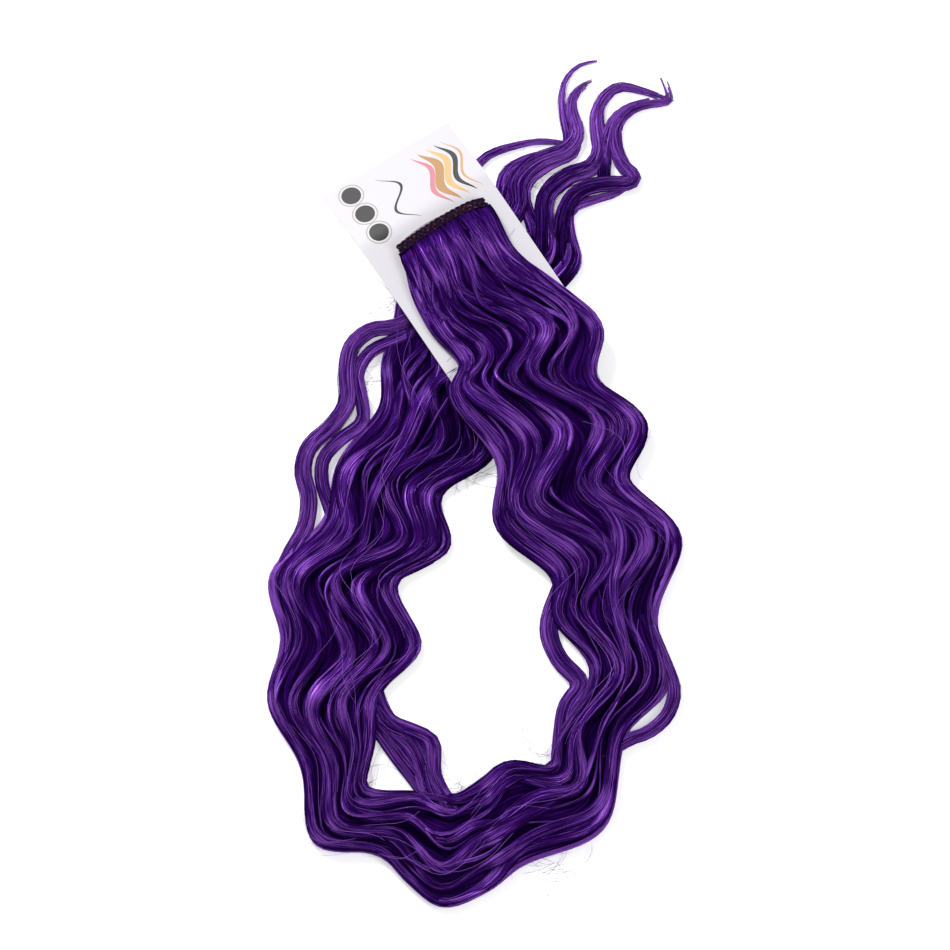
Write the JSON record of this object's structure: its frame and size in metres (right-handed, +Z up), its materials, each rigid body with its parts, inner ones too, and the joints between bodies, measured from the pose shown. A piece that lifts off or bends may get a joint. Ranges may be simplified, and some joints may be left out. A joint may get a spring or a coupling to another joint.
{
  "type": "clip-in hair extension on card",
  "caption": "Long deep-waved purple hair on a short sewn weft band with a snap clip, lying looped on its plain display card.",
  "frame": {"origin": "on the floor, at the middle of the whole object as it lies", "axes": "+Y along the length of the lying loop towards the curled tips, +X to the right, +Z up from the floor"},
  "size_m": [0.1662, 0.3616, 0.0154],
  "materials": {
    "hair": "satin fibre",
    "weft_thread": "sewn thread",
    "clip_steel": "satin",
    "card_board": "semi-gloss coated"
  },
  "bodies": {
    "root": {"hair": "hair", "weft_band": "weft_thread", "snap_clip": "clip_steel", "card": "card_board"}
  },
  "joints": []
}
